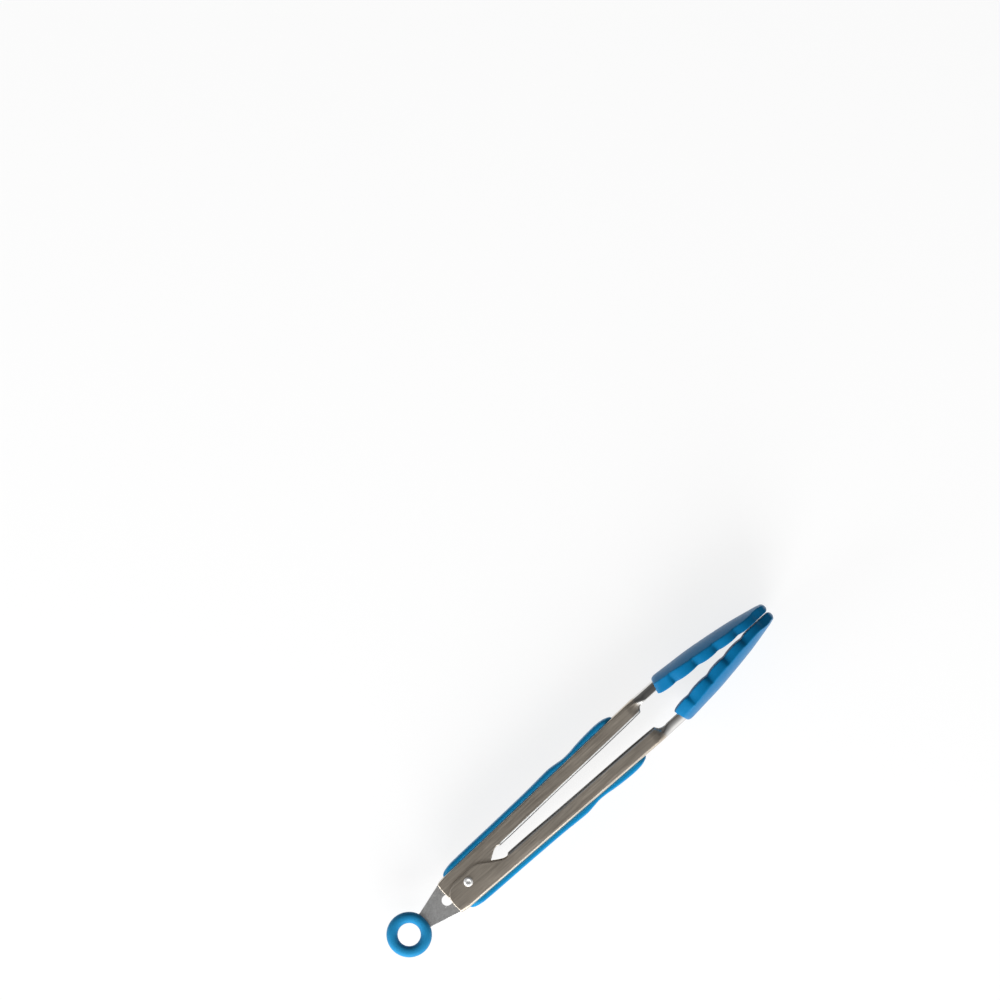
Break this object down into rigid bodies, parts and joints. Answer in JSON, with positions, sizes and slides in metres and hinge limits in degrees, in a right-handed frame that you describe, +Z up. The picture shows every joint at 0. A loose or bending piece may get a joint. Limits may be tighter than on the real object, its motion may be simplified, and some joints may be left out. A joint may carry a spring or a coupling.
{
  "type": "kitchen tongs",
  "caption": "Spring loaded kitchen tongs with channel arms, blue silicone grips and scalloped heads, and a slide lock with a pull ring.",
  "frame": {"origin": "middle of the resting face when the tongs lie on their side, half way along the length", "axes": "+X towards the heads, +Y towards the upper arm, +Z up along the pivot rivet towards its domed head"},
  "size_m": [0.242, 0.0296, 0.034],
  "materials": {
    "brushed_steel": "satin brushed stainless sheet with polished necks",
    "plain_steel": "plain tumbled stainless",
    "spring_wire": "bright drawn spring wire",
    "nylon": "matte dark nylon",
    "core_nylon": "matte dark nylon",
    "blue_silicone": "soft satin silicone"
  },
  "bodies": {
    "pivot": {"pivot_rivet": "plain_steel", "rivet_washer": "plain_steel", "pivot_sleeve": "nylon", "spring_side_washer": "nylon", "spacer_side_washer": "nylon", "spacer_collar": "nylon"},
    "upper_arm_body": {"upper_arm": "brushed_steel", "upper_grip": "blue_silicone", "upper_head": "blue_silicone", "upper_head_core": "core_nylon", "spring_upper_half": "spring_wire"},
    "lower_arm_body": {"lower_arm": "brushed_steel", "lower_grip": "blue_silicone", "lower_head": "blue_silicone", "lower_head_core": "core_nylon", "spring_lower_half": "spring_wire"},
    "lock_tab": {"lock_plate": "plain_steel", "pull_ring": "blue_silicone"}
  },
  "joints": [
    {"name": "upper_arm_open", "type": "hinge", "parent": "pivot", "child": "upper_arm_body", "pos_m": [-0.072, 0, 0.017], "axis": [0, 0, 1], "range_deg": [0, 14], "stiffness_Nm_per_rad": 0.25, "springref_deg": 34.38},
    {"name": "lower_arm_open", "type": "hinge", "parent": "pivot", "child": "lower_arm_body", "pos_m": [-0.072, 0, 0.017], "axis": [0, 0, 1], "range_deg": [-14, 0], "stiffness_Nm_per_rad": 0.25, "springref_deg": -34.38},
    {"name": "lock_slide", "type": "slide", "parent": "pivot", "child": "lock_tab", "axis": [1, 0, 0], "range_m": [0, 0.0138]}
  ],
  "couplings": [
    {"joint": "lower_arm_open", "follows": "upper_arm_open", "ratio": -1}
  ]
}
